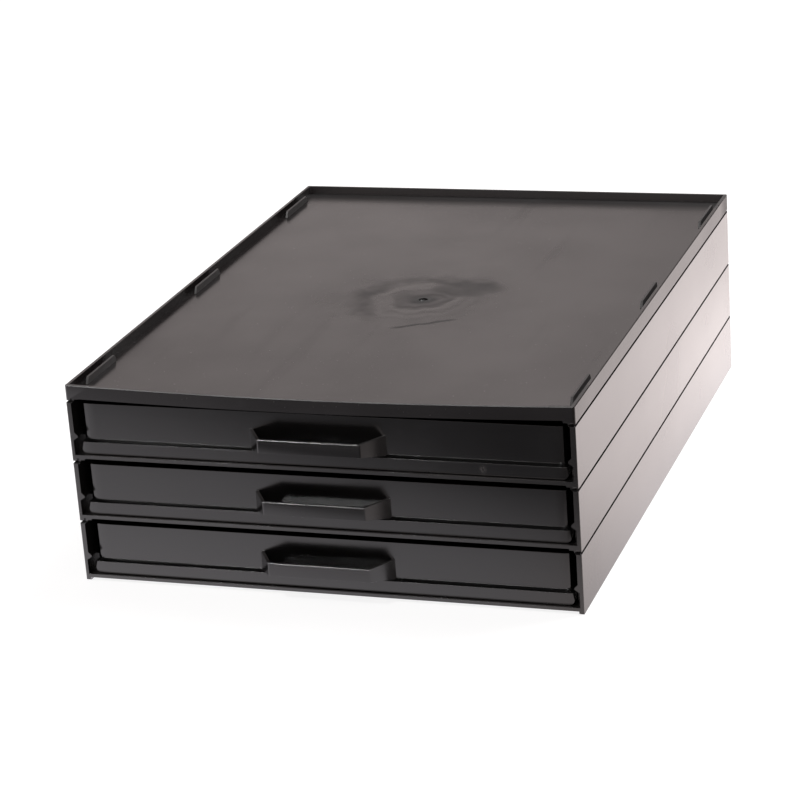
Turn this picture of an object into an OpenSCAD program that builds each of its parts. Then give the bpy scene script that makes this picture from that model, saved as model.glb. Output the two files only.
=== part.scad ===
// A stack of three shallow form drawers for a desk, moulded in black plastic.
// Each drawer slides in an open-topped shell, and the shell or lid above is its ceiling.
// The base rests on Z = 0, the drawers open towards -Y, and the origin is under the middle.

/* [Body] */
// Width over the side walls
body_w = 260; // [220:1:340]
// Depth from the front edges of the side walls to the back
body_d = 358; // [300:1:440]
// Radius of the upright corners
corner_r = 1.4; // [1:0.1:4]
// Radius of the upright edges at the open front of a shell
front_r = 0.6; // [0.4:0.1:1.1]
// Bevel of the outer edges along the top of a shell, just under each seam
seam_bevel = 1.1; // [0.4:0.1:1.3]
// Bevel of the outer edges along the feet
foot_bevel = 0.3; // [0.1:0.1:0.6]

/* [Shell] */
// Height of one shell, from seam to seam
shell_h = 32.3; // [28:0.1:60]
// Height of the feet under a shell's floor
foot_h = 1.8; // [1.5:0.1:4]
// Thickness of the feet
foot_t = 2.5; // [2:0.1:3.5]
// Thickness of the floor
floor_t = 1.8; // [1.4:0.1:3]
// Thickness of the side walls above the guide rib
wall_t = 2.6; // [2.2:0.1:3.6]
// Thickness of the side walls beside the runners
channel_t = 1.8; // [1.2:0.1:2.1]
// Thickness of the back wall
back_t = 2.4; // [1.6:0.1:4]
// Radius of the low front corners of the walls and feet, seen from the side
nose_r = 1.4; // [0.8:0.1:2]

/* [Guide rib and drawer stop] */
// How far the rib stands out past the wall above it
rib_reach = 1.7; // [0.8:0.1:1.9]
// Height of the rib's nose
rib_nose_h = 0.8; // [0.4:0.1:2]
// Height of the slope below the nose and of the one above it
rib_slope_h = 1.7; // [1:0.1:3]
// Play between a runner and the rib over it
runner_play = 1.3; // [0.5:0.1:2]
// Distance from the front edge to the drawer stop
stop_y = 8; // [5:0.5:20]
// Length of the drawer stop
stop_l = 4; // [2:0.5:8]

/* [Stacking lip] */
// Thickness of the upright web on the inside of the wall's top
lip_t = 1.3; // [0.8:0.1:2]
// Width of the lip over its flange
lip_w = 3.5; // [2.5:0.1:5]
// Thickness of the flange
flange_t = 1.1; // [0.6:0.1:1.6]
// Play between the lip and the piece that sits over it
lip_gap = 0.2; // [0.1:0.05:0.4]

/* [Lid] */
// How much taller the feet under the lid's plate are than a shell's feet
lid_lift = 0.6; // [0:0.1:3]
// Bevel round the top of the lid's rim
rim_bevel = 0.4; // [0.2:0.1:0.8]
// Thickness of the lid's plate
plate_t = 2.5; // [1.6:0.1:4]
// Depth of the tray in the lid, from the rim down to the plate
tray_deep = 4.4; // [3:0.1:10]
// Thickness of the rim round the tray
rim_t = 1.9; // [1.4:0.1:3]
// Length of each tab along the plate
tab_l = 36; // [20:1:50]
// How much shorter each tab is at either end by its top
tab_slope = 2; // [0.5:0.1:4]
// Thickness of each tab
tab_t = 1.2; // [0.8:0.1:2]
// How far the tops of the tabs lie below the rim
tab_drop = 1; // [0.5:0.1:2]
// Distance from the lid's side to the tabs
tab_side = 4.8; // [4:0.1:10]
// Distance from the front edge to the middle of the first tab
tab_front = 32.5; // [28:0.5:60]
// Distance from the back to the middle of the last tab
tab_back = 36; // [30:0.5:60]

/* [Drawer] */
// Running gap under the drawer, beside its runners and at its stops
slide_gap = 0.3; // [0.2:0.05:0.6]
// Gap between the drawer's side and the thin part of the wall
side_gap = 3.3; // [2.4:0.1:4.5]
// Gap between the drawer's tail and the back wall
tail_gap = 2.5; // [1:0.1:8]
// Gap between the top of the drawer's front and the ceiling
top_gap = 4.4; // [3.5:0.1:8]
// How far the strip along the foot of the front lies behind the walls' front edges
strip_set = 2; // [1:0.1:4]
// How far the front and the sides draw in above the strip
panel_step = 2.2; // [1.5:0.1:3]
// Height of the strip
strip_h = 6.2; // [5:0.1:8]
// Height of the slope between the strip and the panel
ledge_h = 1.7; // [1:0.1:3]
// Wall thickness of the drawer
drawer_t = 1.8; // [1.4:0.1:2.4]
// Radius along the bottom edges of the drawer's sides
bottom_r = 2.5; // [1.5:0.1:4]
// How far the sides and the tail lie below the top of the front
side_drop = 3; // [2:0.5:12]
// Length of the runners at the tail
runner_l = 86; // [40:1:140]

/* [Grip] */
// Width of the grip across its lip
grip_w = 52.4; // [30:0.2:90]
// How much wider each end of the grip is where it leaves the panel
grip_flare = 8.8; // [2:0.1:20]
// How far the lip stands out from the panel
grip_reach = 13.9; // [8:0.1:20]
// Height of the lip's top edge above the drawer's underside
grip_top = 16.8; // [14:0.1:18]
// Height of the lip
grip_lip_h = 6.8; // [3:0.1:7.5]
// Height of the grip's underside at the panel
grip_root_z = 6.5; // [5.5:0.1:7.5]
// Wall thickness of the grip
grip_t = 1.5; // [1.2:0.1:2.4]

/* [Hidden] */
$fn = 48;
// How far two solids of one moulding run into each other
sink = 0.4;
// How far a cut runs past the face that it opens
over = 1;

half_w = body_w / 2;
lid_foot_h = foot_h + lid_lift;
lid_h = lid_foot_h + plate_t + tray_deep;

// Heights in a shell, from the bottom of its feet
floor_z = foot_h + floor_t;
drawer_z = floor_z + slide_gap;
rib_z = drawer_z + strip_h + runner_play;
nose_z = rib_z + rib_slope_h;
ceiling_z = shell_h + foot_h;
lip_z = ceiling_z - lip_gap;

// Distances in from the outer face of a side wall
lip_out = foot_t + lip_gap;
lip_in = lip_out + lip_t;
rib_in = wall_t + rib_reach;
drawer_in = channel_t + side_gap;

// Sizes and depths of the drawer, with heights from its underside
drawer_half = half_w - drawer_in;
panel_set = strip_set + panel_step;
panel_z = strip_h + ledge_h;
front_h = ceiling_z - top_gap - drawer_z;
side_h = front_h - side_drop;
tail_y = body_d - back_t - tail_gap;
runner_w = side_gap - slide_gap;
runner_y = tail_y - runner_l;
grip_out = grip_reach - panel_set;

// How far a drawer slides out before its runners meet the stops
travel = runner_y - slide_gap - stop_y - stop_l;
echo(travel = travel);

// The front edges of the walls lie here, so that the origin is under the middle of the whole
front_y = (grip_out - body_d) / 2;

// Stands an outline drawn as (x, z) across the depth, from y = a to y = b
module across(a, b) {
    translate([0, b, 0]) rotate([90, 0, 0]) linear_extrude(b - a) children();
}

// Stands an outline drawn as (y, z) across the width, from x = a to x = b
module along(a, b) {
    translate([a, 0, 0]) rotate([90, 0, 90]) linear_extrude(b - a) children();
}

// The body's plan drawn in by a distance, with its front and back corners rounded
module plan(inset, r_front, r_back) {
    w = body_w - 2 * inset;
    d = body_d - 2 * inset;
    translate([-w / 2, inset]) {
        translate([r_front, 0]) square([w - 2 * r_front, d / 2]);
        translate([0, r_front]) square([w, d - r_front - r_back]);
        translate([r_back, d / 2]) square([w - 2 * r_back, d / 2]);
        for (x = [r_front, w - r_front]) translate([x, r_front]) circle(r_front);
        for (x = [r_back, w - r_back]) translate([x, d - r_back]) circle(r_back);
    }
}

// Keeps a piece of height h inside the body: upright edges rounded, outer edges bevelled by f
// along its feet and by b along its top, and the low front corners of its walls rounded. The
// lips above h, up to top, stay clear of the feet of the next piece at the sides and the back.
module outline(h, top, b, r_front) {
    f = foot_bevel;
    lip_x = half_w - lip_out;
    lip_y = body_d - lip_out;
    intersection() {
        linear_extrude(top) plan(0, r_front, corner_r);
        across(-over, body_d + over) polygon([
            [-half_w + f, 0], [half_w - f, 0], [half_w, f], [half_w, h - b], [half_w - b, h],
            [lip_x, h], [lip_x, top], [-lip_x, top], [-lip_x, h], [-half_w + b, h],
            [-half_w, h - b], [-half_w, f]]);
        along(-half_w - over, half_w + over) {
            translate([nose_r, nose_r]) circle(nose_r);
            polygon([
                [nose_r, 0], [body_d - f, 0], [body_d, f], [body_d, h - b], [body_d - b, h],
                [lip_y, h], [lip_y, top], [b, top], [b, h], [0, h - b], [0, nose_r],
                [nose_r, nose_r]]);
        }
        children();
    }
}

// Section of the lip along the top of a wall of thickness t, drawn as (distance in, z): an
// upright web that the piece above sits over, with a flange that stiffens it
module lip_section(t) {
    polygon([
        [t - sink, shell_h - lip_t], [t, shell_h - lip_t], [lip_in, shell_h], [lip_in, lip_z],
        [lip_out, lip_z], [lip_out, shell_h], [t - sink, shell_h]]);
    translate([lip_out, lip_z - flange_t]) square([lip_w, flange_t]);
}

// Section of a side wall, drawn the same way: thin beside the runners, a guide rib over them,
// and thicker from there up to the seam
module side_section() {
    polygon([
        [0, 0], [foot_t, 0], [foot_t, foot_h + sink], [channel_t, foot_h + sink],
        [channel_t, rib_z], [rib_in, nose_z], [rib_in, nose_z + rib_nose_h],
        [wall_t, nose_z + rib_nose_h + rib_slope_h], [wall_t, shell_h], [0, shell_h]]);
    lip_section(wall_t);
}

// Section of the back wall
module back_section() {
    square([back_t, shell_h]);
    square([foot_t, foot_h + sink]);
    lip_section(back_t);
}

// One side of a shell: its wall, and the block that stops the drawer's runner
module shell_side() {
    translate([-half_w, 0, 0]) {
        across(0, body_d) side_section();
        translate([channel_t - sink, stop_y, floor_z - sink])
            cube([runner_w + sink, stop_l, rib_z - floor_z + 2 * sink]);
    }
}

// A shell: floor, side walls and back wall in one moulding, open at the front and on top
module shell() {
    outline(shell_h, lip_z, seam_bevel, front_r) {
        union() {
            shell_side();
            mirror([1, 0, 0]) shell_side();
            translate([0, body_d, 0]) mirror([0, 1, 0]) along(-half_w, half_w) back_section();
            translate([-half_w, 0, foot_h]) cube([body_w, body_d, floor_t]);
        }
    }
}

// One tab on the lid's plate, on the left side, with its middle at y and sloping ends
module tab(y) {
    foot = tab_l / 2;
    tip = foot - tab_slope;
    tab_h = tray_deep - tab_drop;
    translate([-half_w + tab_side, y, lid_h - tray_deep]) along(0, tab_t) polygon([
        [-foot, -sink], [foot, -sink], [foot, 0], [tip, tab_h], [-tip, tab_h], [-foot, 0]]);
}

// The lid: a plate set down inside a rim, on feet that sit over the lips of the top shell
module lid() {
    tab_mid = (tab_front + body_d - tab_back) / 2;
    outline(lid_h, lid_h, rim_bevel, corner_r) {
        difference() {
            linear_extrude(lid_h) plan(0, corner_r, corner_r);
            translate([0, 0, lid_h - tray_deep])
                linear_extrude(tray_deep + over) plan(rim_t, corner_r / 2, corner_r / 2);
            translate([-half_w + foot_t, -over, -over])
                cube([body_w - 2 * foot_t, body_d - foot_t + over, lid_foot_h + over]);
        }
    }
    for (y = [tab_front, tab_mid, body_d - tab_back]) {
        tab(y);
        mirror([1, 0, 0]) tab(y);
    }
}

// Front view of the drawer's tray, drawn in by a distance t: a wide foot with round bottom
// edges, sloping in to narrower sides
module drawer_view(t, top) {
    w = drawer_half - t;
    r = bottom_r - t / 2;
    translate([-w + r, t]) square([2 * (w - r), r]);
    for (x = [-w + r, w - r]) translate([x, t + r]) circle(r);
    polygon([
        [-w, t + r], [w, t + r], [w, strip_h], [w - panel_step, panel_z], [w - panel_step, top],
        [-w + panel_step, top], [-w + panel_step, panel_z], [-w, strip_h]]);
}

// The tray's form, drawn in by a distance t all round: the slope runs across the front too,
// so that the panel stands back from the strip at its foot
module tray_form(t, top) {
    intersection() {
        across(strip_set, tail_y) drawer_view(t, top);
        along(-half_w, half_w) polygon([
            [strip_set + t, t], [tail_y - t, t], [tail_y - t, top], [panel_set + t, top],
            [panel_set + t, panel_z], [strip_set + t, strip_h]]);
    }
}

// The grip's form, drawn in by a distance t: a trapezium from the panel to the lip in plan,
// with an underside that rises from the panel to the foot of the lip
module grip_form(t, top) {
    back = panel_set + sink;
    slant = atan(grip_flare / grip_reach);
    lip_x = grip_w / 2 + t * tan(slant) - t / cos(slant);
    root_x = grip_w / 2 + grip_flare - t / cos(slant);
    intersection() {
        linear_extrude(top) polygon([
            [-lip_x, t - grip_out], [lip_x, t - grip_out], [root_x, panel_set], [root_x, back],
            [-root_x, back], [-root_x, panel_set]]);
        along(-half_w, half_w) polygon([
            [-grip_out, grip_top - grip_lip_h + t], [panel_set, grip_root_z + t],
            [back, grip_root_z + t], [back, top], [-grip_out, top]]);
    }
}

// A drawer: tray, stepped front and cup grip in one moulding, with a runner on each side of
// its tail
module drawer() {
    difference() {
        tray_form(0, front_h);
        tray_form(drawer_t, front_h + over);
        translate([-half_w, panel_set + drawer_t, side_h]) cube([body_w, body_d, front_h]);
    }
    difference() {
        grip_form(0, grip_top);
        grip_form(grip_t, grip_top + over);
    }
    for (x = [-drawer_half - runner_w, drawer_half - sink])
        translate([x, runner_y, bottom_r]) cube([runner_w + sink, runner_l, strip_h - bottom_r]);
}

// Places what belongs to one level of the stack, counted up from the bottom
module on_level(level) {
    translate([0, front_y, level * shell_h]) children();
}

module placed_shell(level) {
    color("#1b1a1a") on_level(level) shell();
}

module placed_lid() {
    color("#1d1b1b") on_level(3) lid();
}

module placed_drawer(level) {
    color("#201f20") on_level(level) translate([0, 0, drawer_z]) drawer();
}

placed_shell(0);  // shell_bottom
placed_shell(1);  // shell_middle
placed_shell(2);  // shell_top
placed_lid();  // lid
placed_drawer(0);  // drawer_bottom
placed_drawer(1);  // drawer_middle
placed_drawer(2);  // drawer_top
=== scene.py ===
import math

import bmesh
import bpy
from mathutils import Matrix, Vector


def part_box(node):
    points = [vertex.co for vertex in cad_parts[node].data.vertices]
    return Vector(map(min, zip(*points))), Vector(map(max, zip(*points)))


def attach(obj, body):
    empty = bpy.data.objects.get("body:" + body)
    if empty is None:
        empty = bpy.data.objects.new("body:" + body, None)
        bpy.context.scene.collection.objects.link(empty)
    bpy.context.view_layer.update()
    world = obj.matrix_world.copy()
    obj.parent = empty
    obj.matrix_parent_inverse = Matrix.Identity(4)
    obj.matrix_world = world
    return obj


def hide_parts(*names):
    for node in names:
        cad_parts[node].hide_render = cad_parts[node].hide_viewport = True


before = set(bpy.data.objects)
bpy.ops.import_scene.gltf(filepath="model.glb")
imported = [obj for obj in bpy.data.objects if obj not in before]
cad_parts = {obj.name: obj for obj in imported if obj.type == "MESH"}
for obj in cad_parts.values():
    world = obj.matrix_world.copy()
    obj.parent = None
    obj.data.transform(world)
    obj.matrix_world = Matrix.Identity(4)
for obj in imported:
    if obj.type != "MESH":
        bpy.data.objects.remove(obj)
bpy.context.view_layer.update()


# Shells. Each is one open-topped black polystyrene moulding: floor, side walls, back wall, feet
# and stacking lip. They stand on one another with nothing but the lip to hold them, and their
# outsides have the satin finish of a lightly blasted mould.
WELD = 1e-5  # points closer than this are one point
FLAT = math.radians(0.3)  # faces that meet at less than this are one face
SLIVER = 5e-5  # edges shorter than this are closed up
EDGE_ROUND = 0.00025
EDGE_ANGLE = math.radians(32)
SLOPING = (0.3, 0.95)  # how far up or down a sloping face looks
SIDEWAYS = 0.2  # how far sideways an upright face looks at least
SEAM_DEEP = 0.0015  # a seam's slopes, in from the outside of a wall
WALL_DEEP = 0.0025  # the wall itself
RIB_DEEP = 0.0100  # the wall and its rib
MOUTH_DEEP = 0.0190  # the mouth, back from the shell's front
BAR_WEAR_AT = (-0.051, -0.1742, 0.0687)
BAR_WEAR_SIZE = (0.011, 0.0012, 0.0010)
shell_low, shell_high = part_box("shell_bottom")
shell_half = shell_high.x


def merged_faces(node):
    """A bmesh copy of a CAD node, with its loose triangles merged into whole faces."""
    form = bmesh.new()
    form.from_mesh(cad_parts[node].data)
    bmesh.ops.remove_doubles(form, verts=form.verts, dist=WELD)
    bmesh.ops.dissolve_limit(form, angle_limit=FLAT, use_dissolve_boundaries=False,
                             verts=form.verts, edges=form.edges, delimit=set())
    return form


def moulding(node, form, body, skins, pick, edge_round=EDGE_ROUND, clamped=True):
    """Turns a bmesh into a moulded piece with softly rounded edges, in place of a CAD node. Its
    skins are the plain one, the one of its worn edges, which is lighter also as a painted
    highlight, and others, and pick says which a face has. Clamped edges are rounded less where
    there is no room for them."""
    bmesh.ops.dissolve_degenerate(form, dist=SLIVER, edges=form.edges[:])
    mesh = bpy.data.meshes.new(node + "_moulding")
    form.to_mesh(mesh)
    form.free()
    mesh.attributes.remove(mesh.attributes["custom_normal"])
    for skin in skins:
        mesh.materials.append(skin)
    for face in mesh.polygons:
        face.use_smooth = True
        face.material_index = pick(face)
    piece = bpy.data.objects.new(node + "_moulding", mesh)
    bpy.context.scene.collection.objects.link(piece)
    rounding = piece.modifiers.new("rounded_edges", "BEVEL")
    rounding.width = edge_round
    rounding.segments = 2
    rounding.limit_method = "ANGLE"
    rounding.angle_limit = EDGE_ANGLE
    rounding.use_clamp_overlap = clamped
    rounding.harden_normals = True
    # the rounded edges get the worn-edge skin, lighter also as a painted highlight
    rounding.material = 1
    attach(piece, body)
    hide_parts(node)


def add(tree, kind, inputs=None, **settings):
    """Adds a shader node; an input given another node's output is linked to it."""
    made = tree.nodes.new("ShaderNode" + kind)
    for key, value in settings.items():
        setattr(made, key, value)
    for key, value in (inputs or {}).items():
        if isinstance(value, bpy.types.NodeSocket):
            tree.links.new(value, made.inputs[key])
        else:
            made.inputs[key].default_value = value
    return made


def cloud(tree, place, scale, detail=3.0, stretch=(1, 1, 1), distortion=0.0):
    """A noise value round 0.5, with its pattern stretched along the axes."""
    mapped = add(tree, "Mapping", {"Vector": place, "Scale": stretch}).outputs["Vector"]
    return add(tree, "TexNoise", {"Vector": mapped, "Scale": scale, "Detail": detail,
                                  "Roughness": 0.55, "Distortion": distortion}).outputs["Fac"]


def ramp(tree, value, low, high, out_low, out_high, smooth=False):
    """Maps a value from one range to another, held at both ends."""
    return add(tree, "MapRange", {"Value": value, "From Min": low, "From Max": high,
                                  "To Min": out_low, "To Max": out_high},
               interpolation_type="SMOOTHSTEP" if smooth else "LINEAR").outputs["Result"]


def combine(tree, operation, a, b):
    """The result of one sum on two values."""
    return add(tree, "Math", {0: a, 1: b}, operation=operation).outputs["Value"]


def shift(tree, operation, a, b):
    """The result of one sum on two places."""
    return add(tree, "VectorMath", {0: a, 1: b}, operation=operation).outputs["Vector"]


def around(tree, place, centre):
    """A place as seen from a centre."""
    return add(tree, "Mapping", {"Vector": place, "Location": centre},
               vector_type="TEXTURE").outputs["Vector"]


def length(tree, place):
    """How far away a place is."""
    return add(tree, "VectorMath", {0: place}, operation="LENGTH").outputs["Value"]


def blend(tree, amount, a, b, kind="RGBA"):
    """A blend from one colour to another or, with kind FLOAT, from one value to another."""
    return add(tree, "Mix", {"Factor": amount, "A": a, "B": b}, data_type=kind).outputs["Result"]


def oval(tree, place, centre, size, edge=0.35):
    """1 inside an ellipsoid round a point, fading to 0 over the outer part of its radius."""
    away = length(tree, shift(tree, "DIVIDE", around(tree, place, centre), size))
    return ramp(tree, away, 1 - edge, 1, 1, 0, smooth=True)


def lighten(tree, colour, amount):
    """Whitens a colour where the plastic is scratched or dusty."""
    return blend(tree, amount, colour, (0.30, 0.28, 0.27, 1))


def moulded_black(name, tone, roughness, grain, warp, dust=1.0, wear=1.0, shine=1.8, coat=0.0,
                  extra=None):
    """Black polystyrene: a cloudy dark tone, a roughness between two values that varies with
    handling, fine mould grain, a slow warp that bends reflections, faint rub marks and specks
    of dust. Extra adds a piece's own marks."""
    skin = bpy.data.materials.new(name)
    skin.use_nodes = True
    tree = skin.node_tree
    shader = tree.nodes["Principled BSDF"]
    place = add(tree, "TexCoord").outputs["Object"]
    patches = cloud(tree, place, 16, 4)
    rubs = cloud(tree, place, 60, 2, stretch=(1, 0.09, 2.5), distortion=0.6)
    specks = ramp(tree, cloud(tree, place, 900, 1), 0.755, 0.80, 0, 0.55 * dust)
    worn = ramp(tree, rubs, 0.62, 0.80, 0, 1)
    dark, pale = ((*[share * part for part in tone], 1) for share in (0.85, 1.15))
    colour = blend(tree, patches, dark, pale)
    dusted = lighten(tree, colour, combine(tree, "MULTIPLY", specks, 0.16))
    rough = ramp(tree, patches, 0.35, 0.65, *roughness)
    rough = combine(tree, "ADD", rough, combine(tree, "MULTIPLY", worn, 0.05 * wear))
    rough = combine(tree, "ADD", rough, combine(tree, "MULTIPLY", specks, 0.2))
    height = combine(tree, "MULTIPLY", cloud(tree, place, 1500, 2), grain)
    slow = combine(tree, "MULTIPLY", cloud(tree, place, 22, 2), warp)
    height = combine(tree, "ADD", height, slow)
    if extra:
        dusted, rough, height = extra(tree, place, dusted, rough, height)
    bump = add(tree, "Bump", {"Height": height, "Strength": 1.0,
                              "Distance": 0.00001}).outputs["Normal"]
    tree.links.new(dusted, shader.inputs["Base Color"])
    tree.links.new(rough, shader.inputs["Roughness"])
    tree.links.new(bump, shader.inputs["Normal"])
    shader.inputs["IOR"].default_value = shine
    if coat:
        shader.inputs["Coat Weight"].default_value = coat
        shader.inputs["Coat IOR"].default_value = 1.5
        shader.inputs["Coat Roughness"].default_value = roughness[0]
        tree.links.new(bump, shader.inputs["Coat Normal"])
    return skin


def bar_wear(tree, place, colour, rough, height):
    """Fine scratches on the front of the top shell's floor, where drawers are set down."""
    grit = ramp(tree, cloud(tree, place, 1100, 2, stretch=(0.3, 1, 1)), 0.50, 0.62, 0, 1)
    worn = combine(tree, "MULTIPLY", grit, oval(tree, place, BAR_WEAR_AT, BAR_WEAR_SIZE, 0.6))
    return lighten(tree, colour, combine(tree, "MULTIPLY", worn, 0.35)), rough, height


shell_skin = moulded_black("shell_plastic", (0.0092, 0.0086, 0.0084), (0.24, 0.28), 0.3, 1.5,
                           dust=0.15, wear=0.3, shine=1.59, coat=1.0, extra=bar_wear)
# worn edges, lighter also as a painted highlight along the rounded edges
shell_worn_edge_highlight_skin = moulded_black("shell_plastic_worn_edge_and_painted_highlight", (0.015, 0.014, 0.014), (0.20, 0.26),
                                0.6, 1.0, dust=0.15, wear=0.6, shine=1.59, coat=1.0,
                                extra=bar_wear)
# painted shade: a darker, less shiny skin in the seams over and under each shell and on the inside
# of the walls by the mouth
shell_painted_shade_skin = moulded_black("shell_plastic_painted_shade", (0.004, 0.0035, 0.0035), (0.10, 0.16),
                          0.3, 1.0, dust=0.15, wear=0.3, shine=1.25)


def slopes(upwards):
    """Whether a face that looks up by this much is neither level nor upright."""
    return SLOPING[0] < upwards < SLOPING[1]


def shell_pick(face):
    """Finds a face that slopes into the seam over or under a shell, or that stands on the inside
    of a wall by the mouth; both get a darker, less shiny skin as painted shade."""
    at = face.center
    inwards = shell_half - abs(at.x)
    in_seam = slopes(abs(face.normal.z)) and inwards < SEAM_DEEP
    by_mouth = at.y < shell_low.y + MOUTH_DEEP and WALL_DEEP < inwards < RIB_DEEP
    return 2 if in_seam or (by_mouth and abs(face.normal.x) > SIDEWAYS) else 0


for level in ("bottom", "middle", "top"):
    node = "shell_" + level
    moulding(node, merged_faces(node), "body",
             (shell_skin, shell_worn_edge_highlight_skin, shell_painted_shade_skin), shell_pick)


# Lid. One black moulding: a plate set down inside a low rim, with six short tabs for holding
# another unit's feet. The gate of the mould is in the middle of its plate, where the plastic
# flowed in and left swirls, and its front edge has sagged with age because nothing holds it up.
FOOT_HIGH = 0.0024
RIM_HIGH = 0.0044
RIM_THICK = 0.0022
TAB_FROM = 0.0002  # over the plate
TAB_DEEP = 0.0080  # in from the rim
TAB_END = 0.0040  # from the lid's back
FRONT_DEEP = 0.0020
SAG_FRONT = 0.0024
SAG_EDGE = 0.00065
SAG_TILT = 0.00045
SAG_CURVE = 1.4
CUTS_ACROSS = 20
CUTS_ALONG = 12
ON_CUT = 1e-6  # points closer than this to a cut are on it
GATE_PATCH = 0.006
GATE_INSET = 0.0001
# The gate's rings from its rim inwards, as (radius, height over the plate).
GATE_RINGS = ((0.0040, 0), (0.0034, 0.00006), (0.0029, 0.00012), (0.0025, 0.00006),
              (0.0021, -0.00015), (0.0017, -0.00050), (0.0013, -0.00090), (0.0008, -0.00110))
PIT_RADIUS = 0.0024
PIT_DEEP = 0.0018
SMUDGE_AT = (0.018, 0.020, 0)  # from the gate
SMUDGE_SIZE = (0.024, 0.016, 0.02)
SCRATCH_AT = (0.0165, -0.0480, 0.1018)
SCRATCH_SIZE = (0.0215, 0.016, 0.01)
SCRATCH_ACROSS = (-0.488, 0.873, 0)
SCRATCH_FROM = 0.0485  # from the middle of the unit
BORDER = (0.158, 0.180)  # where the plate is dull along its back
lid_low, lid_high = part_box("lid")
lid_half = lid_high.x
lid_wide = lid_high.x - lid_low.x
lid_long = lid_high.y - lid_low.y
gate_at = Vector((0.0045, -0.0100, lid_high.z - RIM_HIGH))


def sag(point):
    """How far the lid has come down at a point, most in the middle of its front edge."""
    side = point.x / lid_half
    back = (point.y - lid_low.y) / lid_long
    above_seam = min(1.0, max(0.0, point.z - lid_low.z) / FOOT_HIGH)
    middle = SAG_FRONT * math.cos(side * math.pi / 2)
    return (SAG_EDGE - SAG_TILT * side + middle) * max(0.0, 1 - back) ** SAG_CURVE * above_seam


def cut_across(form, axis, at):
    """Cuts a form's faces along a plane, so that it can bend there."""
    across = Vector((axis == "x", axis == "y", axis == "z"))
    bmesh.ops.bisect_plane(form, geom=form.verts[:] + form.edges[:] + form.faces[:],
                           plane_co=across * at, plane_no=across, dist=ON_CUT)


def gate_patch(form):
    """The lid's face that is nearest to the gate."""
    return min(form.faces, key=lambda face: (face.calc_center_median() - gate_at).length)


lid_form = merged_faces("lid")
for side in (-GATE_PATCH, GATE_PATCH):
    cut_across(lid_form, "x", gate_at.x + side)
    cut_across(lid_form, "y", gate_at.y + side)
bmesh.ops.subdivide_edges(lid_form, edges=gate_patch(lid_form).edges[:], cuts=5)
for radius, height in GATE_RINGS:
    bmesh.ops.inset_individual(lid_form, faces=[gate_patch(lid_form)], thickness=GATE_INSET,
                               use_even_offset=False)
    for vertex in gate_patch(lid_form).verts:
        outwards = (vertex.co - gate_at) * Vector((1, 1, 0))
        vertex.co = gate_at + outwards.normalized() * radius + Vector((0, 0, height))
for step in range(1, CUTS_ACROSS):
    cut_across(lid_form, "x", lid_low.x + lid_wide * step / CUTS_ACROSS)
for step in range(1, CUTS_ALONG):
    cut_across(lid_form, "y", lid_low.y + lid_long * step / CUTS_ALONG)
bmesh.ops.recalc_face_normals(lid_form, faces=lid_form.faces[:])
for vertex in lid_form.verts:
    vertex.co.z -= sag(vertex.co)


def gate_marks(tree, place, colour, rough, height):
    """Dull rings and waves in the plate's gloss round the gate, a smudge and a scratch beside
    it, and a dull border along the plate's back."""
    from_gate = around(tree, place, gate_at)
    sides = add(tree, "SeparateXYZ", {"Vector": from_gate})
    straight = length(tree, shift(tree, "MULTIPLY", from_gate, (1, 1, 0)))
    drift = add(tree, "TexNoise", {"Vector": from_gate, "Scale": 42, "Detail": 3}).outputs["Color"]
    drift = shift(tree, "SUBTRACT", drift, (0.5, 0.5, 0.5))
    drift = shift(tree, "MULTIPLY", drift, (0.022, 0.022, 0.022))
    bent = shift(tree, "ADD", drift, from_gate)
    away = length(tree, shift(tree, "MULTIPLY", bent, (1, 1, 0)))
    patchy = ramp(tree, cloud(tree, from_gate, 60, 3), 0.36, 0.62, 0.35, 1)

    rim = ramp(tree, straight, 0.0015, 0.010, 1, 0, smooth=True)
    rim = combine(tree, "MULTIPLY", rim, 0.25)
    disc = ramp(tree, away, 0.013, 0.019, 0.12, 0, smooth=True)
    ring = combine(tree, "MULTIPLY", ramp(tree, away, 0.024, 0.031, 0, 1, smooth=True),
                   ramp(tree, away, 0.033, 0.045, 1, 0, smooth=True))
    back_left = combine(tree, "MULTIPLY", sides.outputs["X"], 1.1)
    back_left = combine(tree, "SUBTRACT", sides.outputs["Y"], back_left)
    ring = combine(tree, "MULTIPLY", ring,
                   ramp(tree, back_left, -0.018, 0.014, 0.12, 1, smooth=True))
    ring = combine(tree, "MULTIPLY", combine(tree, "MULTIPLY", ring, patchy), 0.19)
    halo = ramp(tree, away, 0.030, 0.080, 0.05, 0, smooth=True)
    halo = combine(tree, "MULTIPLY", halo, patchy)
    smudge = combine(tree, "MULTIPLY", oval(tree, bent, SMUDGE_AT, SMUDGE_SIZE, 0.6), 0.17)

    off_line = add(tree, "VectorMath", {0: place, 1: SCRATCH_ACROSS},
                   operation="DOT_PRODUCT").outputs["Value"]
    off_line = combine(tree, "ADD", off_line, SCRATCH_FROM)
    wander = combine(tree, "MULTIPLY", cloud(tree, place, 90, 2), 0.003)
    off_line = combine(tree, "ABSOLUTE", combine(tree, "ADD", off_line, wander), 0)
    scratch = combine(tree, "MULTIPLY", ramp(tree, off_line, 0.0004, 0.0020, 1, 0, smooth=True),
                      oval(tree, place, SCRATCH_AT, SCRATCH_SIZE))
    scratch = combine(tree, "MULTIPLY", scratch, 0.28)
    border = ramp(tree, add(tree, "SeparateXYZ", {"Vector": place}).outputs["Y"], *BORDER,
                  0, 0.22, smooth=True)

    dull = rim
    for mark in (disc, ring, halo, smudge, scratch, border):
        dull = combine(tree, "ADD", dull, mark)
    rough = combine(tree, "ADD", rough, dull)
    waves = combine(tree, "SINE", combine(tree, "MULTIPLY", away, 700), 0)
    waves = combine(tree, "MULTIPLY", waves, ramp(tree, away, 0.010, 0.040, 6, 0, smooth=True))
    return colour, rough, combine(tree, "ADD", height, waves)


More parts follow.
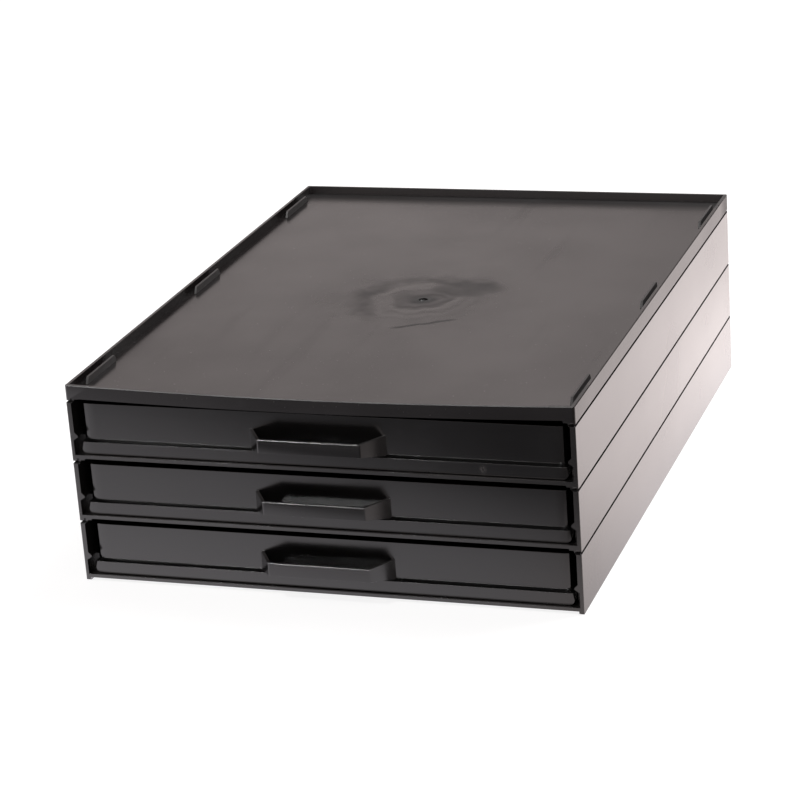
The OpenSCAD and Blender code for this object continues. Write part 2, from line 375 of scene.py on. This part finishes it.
lid_skin = moulded_black("lid_plastic", (0.0084, 0.0068, 0.0068), (0.20, 0.26), 0.4, 5.0,
                         dust=0.6, extra=gate_marks)
# worn edges, lighter also as a painted highlight along the rounded edges
lid_worn_edge_highlight_skin = moulded_black("lid_plastic_worn_edge_and_painted_highlight", (0.015, 0.014, 0.014), (0.48, 0.58),
                              0.8, 1.0)
# duller skin for the tabs and the lid's front slope: rubbed, and lighter also as painted light on
# the tabs and a painted highlight along the front edge
lid_rubbed_painted_light_skin = moulded_black("lid_plastic_rubbed_and_painted_light", (0.026, 0.024, 0.024), (0.42, 0.50),
                              0.8, 1.0)
# painted shade: a near-black, barely shiny skin in the gate's pit
pit_painted_shade_skin = moulded_black("lid_plastic_painted_shade_in_gate", (0.001, 0.001, 0.001), (0.50, 0.60), 0.3, 1.0,
                         dust=0, wear=0, shine=1.12)


def lid_pick(face):
    """Finds a face of the gate's pit, which gets a black skin as painted shade, or of the tabs,
    which other units' feet rub dull, or of the lid's sloping front edge, which papers and sleeves
    do. The duller skin of the tabs and the front edge is also lighter, as painted light on the
    tabs and a painted highlight along the edge."""
    at = face.center
    inwards = lid_half - RIM_THICK - abs(at.x)
    if (at.xy - gate_at.xy).length < PIT_RADIUS and at.z > gate_at.z - PIT_DEEP:
        return 3
    on_tab = (0 < inwards < TAB_DEEP and at.z > gate_at.z + TAB_FROM
              and abs(at.y) < lid_high.y - TAB_END)
    on_front = at.y < lid_low.y + FRONT_DEEP and slopes(face.normal.z)
    return 2 if on_tab or on_front else 0


moulding("lid", lid_form, "body",
         (lid_skin, lid_worn_edge_highlight_skin, lid_rubbed_painted_light_skin, pit_painted_shade_skin), lid_pick)


# Drawers. Each is a black moulding with a glossy stepped front and a cup grip, left as it came
# from a polished mould. It slides in its shell on the two runners beside its tail. The ends of
# its front have shrunk back a little.
LIP_TOP = 0.0168  # heights over the drawer's foot
STRIP_TOP = 0.0062
PANEL_FOOT = 0.0079
RECESS_TOP = 0.0160
CORNER_BACK = 0.0142  # distances back from the grip's lip
PANEL_BACK = 0.01435
FRONT_BACK = 0.0245
PANEL_STEP = 0.0022  # the panel's end, in from the strip's
FOOT_DROP = 0.0006
UPRIGHT_FROM = 0.0015  # an edge that climbs more than this is upright
LIP_ROUND = 0.0006
CORNER_ROUND = 0.0011
PANEL_ROUND = 0.0005
DRAWER_EDGE_ROUND = 0.0001
FALL_FROM = 0.0058  # from the end of the front
FALL_STEP = 0.0012
FALL_CUTS = 6
FALL = 12
NEAR = 1e-4
NICK_AT = (0.0033, -0.1838, 0.0856)
NICK_SIZE = (0.0058, 0.0012, 0.0009)
SCUFF_AT = (0.0832, -0.1722, 0.0712)
SCUFF_SIZE = (0.0026, 0.002, 0.0034)


def round_edges(form, edges, radius, steps):
    """Rounds some of a form's edges."""
    bmesh.ops.bevel(form, geom=edges, offset=radius, segments=steps, profile=0.5,
                    affect="EDGES", material=-1)


def round_lip(form, low):
    """Rounds the front edges of the grip's lip, along its top and down its ends."""
    lip = [edge for edge in form.edges
           if all(abs(vertex.co.y - low.y) < WELD for vertex in edge.verts)
           and any(abs(vertex.co.z - low.z - LIP_TOP) < WELD for vertex in edge.verts)]
    round_edges(form, lip, LIP_ROUND, 4)


def round_corners(form, low, half):
    """Rounds the upright corners at both ends of the strip, and of the panel over it."""
    strip_corners = []
    panel_corners = []
    for edge in form.edges:
        ends = [vertex.co for vertex in edge.verts]
        upright = abs(ends[0].z - ends[1].z) > UPRIGHT_FROM
        by_corner = all(abs(end.x) > half - PANEL_STEP - NEAR and end.y < low.y + CORNER_BACK
                        for end in ends)
        if upright and by_corner:
            on_panel = max(end.z for end in ends) - low.z > PANEL_FOOT + UPRIGHT_FROM
            (panel_corners if on_panel else strip_corners).append(edge)
    round_edges(form, strip_corners, CORNER_ROUND, 4)
    round_edges(form, [edge for edge in panel_corners if edge.is_valid], PANEL_ROUND, 3)


def settle_front(form, low, half):
    """Brings the panel's foot down, so that the ledge under it is as thin as on the real one,
    and bends the ends of the front backwards, more and more towards its corners."""
    for vertex in form.verts:
        up = vertex.co.z - low.z
        if abs(up - PANEL_FOOT) < NEAR and vertex.co.y < low.y + PANEL_BACK:
            vertex.co.z -= FOOT_DROP
        slope = min(1.0, max(0.0, (up - STRIP_TOP) / (PANEL_FOOT - STRIP_TOP)))
        past = abs(vertex.co.x) - (half - PANEL_STEP * slope - FALL_FROM)
        if past > 0 and vertex.co.y < low.y + FRONT_BACK:
            vertex.co.y += FALL * past ** 2


def handling_marks(tree, place, colour, rough, height):
    """Nicks in the edge of the top drawer's grip and a scuff on the strip beside it."""
    grit = cloud(tree, place, 1500, 2)
    nick = combine(tree, "MULTIPLY", ramp(tree, grit, 0.50, 0.58, 0, 1),
                   oval(tree, place, NICK_AT, NICK_SIZE, 0.5))
    scuff = combine(tree, "MULTIPLY", ramp(tree, grit, 0.42, 0.60, 0, 0.35),
                    oval(tree, place, SCUFF_AT, SCUFF_SIZE, 0.8))
    marks = combine(tree, "ADD", nick, scuff)
    rough = combine(tree, "ADD", rough, combine(tree, "MULTIPLY", marks, 0.25))
    return lighten(tree, colour, combine(tree, "MULTIPLY", marks, 0.6)), rough, height


drawer_skin = moulded_black("drawer_plastic", (0.0066, 0.0064, 0.0065), (0.15, 0.21), 0.25, 4.0,
                            dust=0.5, extra=handling_marks)
# worn edges, lighter also as a painted highlight along the rounded edges
drawer_worn_edge_highlight_skin = moulded_black("drawer_plastic_worn_edge_and_painted_highlight", (0.011, 0.011, 0.011), (0.20, 0.30),
                                 0.6, 1.0, dust=0.5, extra=handling_marks)
# painted shade: a darker skin on the faces that look up from the ledge under the panel and inside
# the grip
drawer_painted_shade_skin = moulded_black("drawer_plastic_painted_shade", (0.004, 0.004, 0.004),
                                   (0.06, 0.08), 0.1, 1.0, dust=0.2, wear=0.2)


def drawer_pick(face, low):
    """Finds a face that looks up from the ledge under the panel or from inside the grip, which
    gets a darker skin as painted shade."""
    in_front = face.center.y < low.y + PANEL_BACK and face.center.z < low.z + RECESS_TOP
    return 2 if in_front and face.normal.z > SLOPING[0] else 0


for level in ("bottom", "middle", "top"):
    node = "drawer_" + level
    form = merged_faces(node)
    low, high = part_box(node)
    front_half = max(vertex.co.x for vertex in form.verts if vertex.co.y < 0)
    round_lip(form, low)
    round_corners(form, low, front_half)
    for step in range(FALL_CUTS):
        bend_at = front_half - PANEL_STEP - FALL_FROM + FALL_STEP * step
        cut_across(form, "x", -bend_at)
        cut_across(form, "x", bend_at)
    settle_front(form, low, front_half)
    moulding(node, form, node,
             (drawer_skin, drawer_worn_edge_highlight_skin, drawer_painted_shade_skin),
             lambda face: drawer_pick(face, low), DRAWER_EDGE_ROUND, clamped=False)


# Floor: a plain white sheet. The camera sees it white; the plastic mirrors a pool of light
# painted into its glow that fades towards the front, and other rays see it glow as painted light.
FLOOR_HALF = 9
SLANT = 0.47  # the painted pool's front runs this much across
PAINTED_PATCH_AT = (0.145, 0.24, 0)
PAINTED_PATCH_SIZE = (0.055, 0.26, 1)
floor_form = bmesh.new()
bmesh.ops.create_grid(floor_form, x_segments=1, y_segments=1, size=FLOOR_HALF)
floor_mesh = bpy.data.meshes.new("floor")
floor_form.to_mesh(floor_mesh)
floor_form.free()
floor = bpy.data.objects.new("floor", floor_mesh)
bpy.context.scene.collection.objects.link(floor)


def sight_rays(tree):
    """Whether a ray comes from the camera, and whether it is one that shows what it meets,
    straight from the camera or mirrored, and not one that only carries light."""
    path = add(tree, "LightPath")
    to_camera = path.outputs["Is Camera Ray"]
    mirrored = combine(tree, "ADD", to_camera, path.outputs["Is Glossy Ray"])
    shown = add(tree, "Math", {0: mirrored, 1: path.outputs["Is Transmission Ray"]},
                operation="ADD", use_clamp=True).outputs["Value"]
    return to_camera, shown


paper = bpy.data.materials.new("white_paper_with_painted_light_pool")
paper.use_nodes = True
tree = paper.node_tree
tree.nodes.clear()
place = add(tree, "TexCoord").outputs["Object"]
axes = add(tree, "SeparateXYZ", {"Vector": place})
reach = combine(tree, "MULTIPLY", axes.outputs["X"], SLANT)
reach = combine(tree, "SUBTRACT", axes.outputs["Y"], reach)
# painted light: a pool of light in the floor's glow, bright near the unit and fading towards the
# front, with a pale patch beside it and a faint glow further out, which the plastic mirrors
painted_pool = combine(tree, "ADD", ramp(tree, reach, -0.39, -0.235, 0.075, 0.735, smooth=True),
               ramp(tree, reach, -0.27, -0.05, 0, 0.5, smooth=True))
painted_pale_patch = combine(tree, "MULTIPLY", 0.42, oval(tree, place, PAINTED_PATCH_AT, PAINTED_PATCH_SIZE, 0.9))
painted_far_glow = combine(tree, "MULTIPLY", ramp(tree, reach, -0.42, -0.36, 0.09, 0, smooth=True),
              ramp(tree, axes.outputs["Y"], -0.45, -0.42, 1, 0, smooth=True))
painted_pool = combine(tree, "ADD", combine(tree, "ADD", painted_pool, painted_pale_patch), painted_far_glow)
# a warm tint painted into the mirrored floor to the right
painted_warm_tint = blend(tree, ramp(tree, axes.outputs["X"], 0.06, 0.16, 0, 1, smooth=True),
             (1.0, 0.955, 0.995, 1), (1.0, 0.90, 0.885, 1))
to_camera, shown = sight_rays(tree)
seen = blend(tree, to_camera, painted_pool, 0.84, kind="FLOAT")
# rays that only carry light see the floor glow at 0.5, painted light in place of light bounced off
# it
glow = blend(tree, shown, 0.5, seen, kind="FLOAT")
hue = blend(tree, to_camera, painted_warm_tint, (1, 1, 1, 1))
emission = add(tree, "Emission", {"Color": hue, "Strength": glow})
matte = add(tree, "BsdfDiffuse", {"Color": (0.32, 0.32, 0.32, 1)})
lit = add(tree, "AddShader", {0: emission.outputs[0], 1: matte.outputs[0]})
sheet = add(tree, "MixShader", {0: to_camera, 1: emission.outputs[0], 2: lit.outputs[0]})
tree.links.new(sheet.outputs[0], add(tree, "OutputMaterial").inputs["Surface"])
floor_mesh.materials.append(paper)


# Light: a pale room that is darker higher up, with a dark screen to the back right, a faint
# glow to the back left and a pale window low in front. One broad soft lamp shines from the back
# right and a small one from the front left.
GLOW_TOWARDS = (-0.324, 0.887, 0.329)
world = bpy.data.worlds.new("studio")
bpy.context.scene.world = world
world.use_nodes = True
tree = world.node_tree
tree.nodes.clear()
direction = add(tree, "TexCoord").outputs["Generated"]
axes = add(tree, "SeparateXYZ", {"Vector": direction})
up = axes.outputs["Z"]
room = combine(tree, "MULTIPLY", ramp(tree, up, 0.03, 0.25, 0.85, 0.49, smooth=True),
               ramp(tree, up, 0.40, 0.64, 1, 0.10, smooth=True))
screen = combine(tree, "MULTIPLY", ramp(tree, axes.outputs["X"], 0.02, 0.20, 0, 1, smooth=True),
                 ramp(tree, axes.outputs["X"], 0.70, 0.90, 1, 0, smooth=True))
screen = combine(tree, "MULTIPLY", screen,
                 ramp(tree, axes.outputs["Y"], 0, 0.3, 0, 1, smooth=True))
screen = combine(tree, "MULTIPLY", screen, ramp(tree, up, 0.05, 0.18, 0, 0.78, smooth=True))
room = combine(tree, "MULTIPLY", room, combine(tree, "SUBTRACT", 1, screen))
towards = add(tree, "VectorMath", {0: direction, 1: GLOW_TOWARDS},
              operation="DOT_PRODUCT").outputs["Value"]
room = combine(tree, "ADD", room, ramp(tree, towards, 0.988, 1.0, 0, 0.24, smooth=True))
window = combine(tree, "MULTIPLY",
                 ramp(tree, axes.outputs["Y"], -0.75, -0.45, 1, 0, smooth=True),
                 ramp(tree, up, 0.38, 0.47, 1, 0, smooth=True))
window = combine(tree, "MULTIPLY", window, ramp(tree, up, 0.16, 0.25, 0, 1.0, smooth=True))
room = combine(tree, "ADD", room, window)
to_camera, shown = sight_rays(tree)
seen = blend(tree, to_camera, room, 1.0, kind="FLOAT")
strength = blend(tree, shown, 0.35, seen, kind="FLOAT")
tone = blend(tree, to_camera, (1.0, 0.90, 0.885, 1), (1, 1, 1, 1))
sky = add(tree, "Background", {"Color": tone, "Strength": strength})
tree.links.new(sky.outputs[0], add(tree, "OutputWorld").inputs["Surface"])


def soft_lamp(name, at, size, power):
    """A square area lamp that faces the foot of the unit."""
    lamp = bpy.data.lights.new(name, "AREA")
    lamp.shape = "SQUARE"
    lamp.size = size
    lamp.energy = power
    holder = bpy.data.objects.new(name, lamp)
    bpy.context.scene.collection.objects.link(holder)
    holder.location = at
    holder.rotation_euler = (-Vector(at)).to_track_quat("-Z", "Y").to_euler()


soft_lamp("back_softbox", at=(1.1, 1.2, 2.1), size=1.6, power=60)
soft_lamp("front_softbox", at=(-0.78, -1.09, 1.84), size=0.16, power=11)


# Camera: the photograph's own view, from the front right and above, with a long lens.
LENS = 120.402
EYE_AT = (0.438638, -1.298465, 0.535671)
EYE_HEADING = math.radians(19.3011)
EYE_DOWN = math.radians(19.8534)
EYE_ROLL = math.radians(-4.1247)
eye = bpy.data.cameras.new("camera")
eye.sensor_fit = "HORIZONTAL"
eye.sensor_width = 36
eye.lens = LENS
eye.clip_start = 0.05
eye.clip_end = 50
camera = bpy.data.objects.new("camera", eye)
bpy.context.scene.collection.objects.link(camera)
turn = (Matrix.Rotation(EYE_HEADING, 4, "Z")
        @ Matrix.Rotation(math.pi / 2 - EYE_DOWN, 4, "X")
        @ Matrix.Rotation(EYE_ROLL, 4, "Z"))
camera.matrix_world = Matrix.Translation(EYE_AT) @ turn
bpy.context.scene.camera = camera
bpy.context.scene.view_settings.view_transform = "Standard"
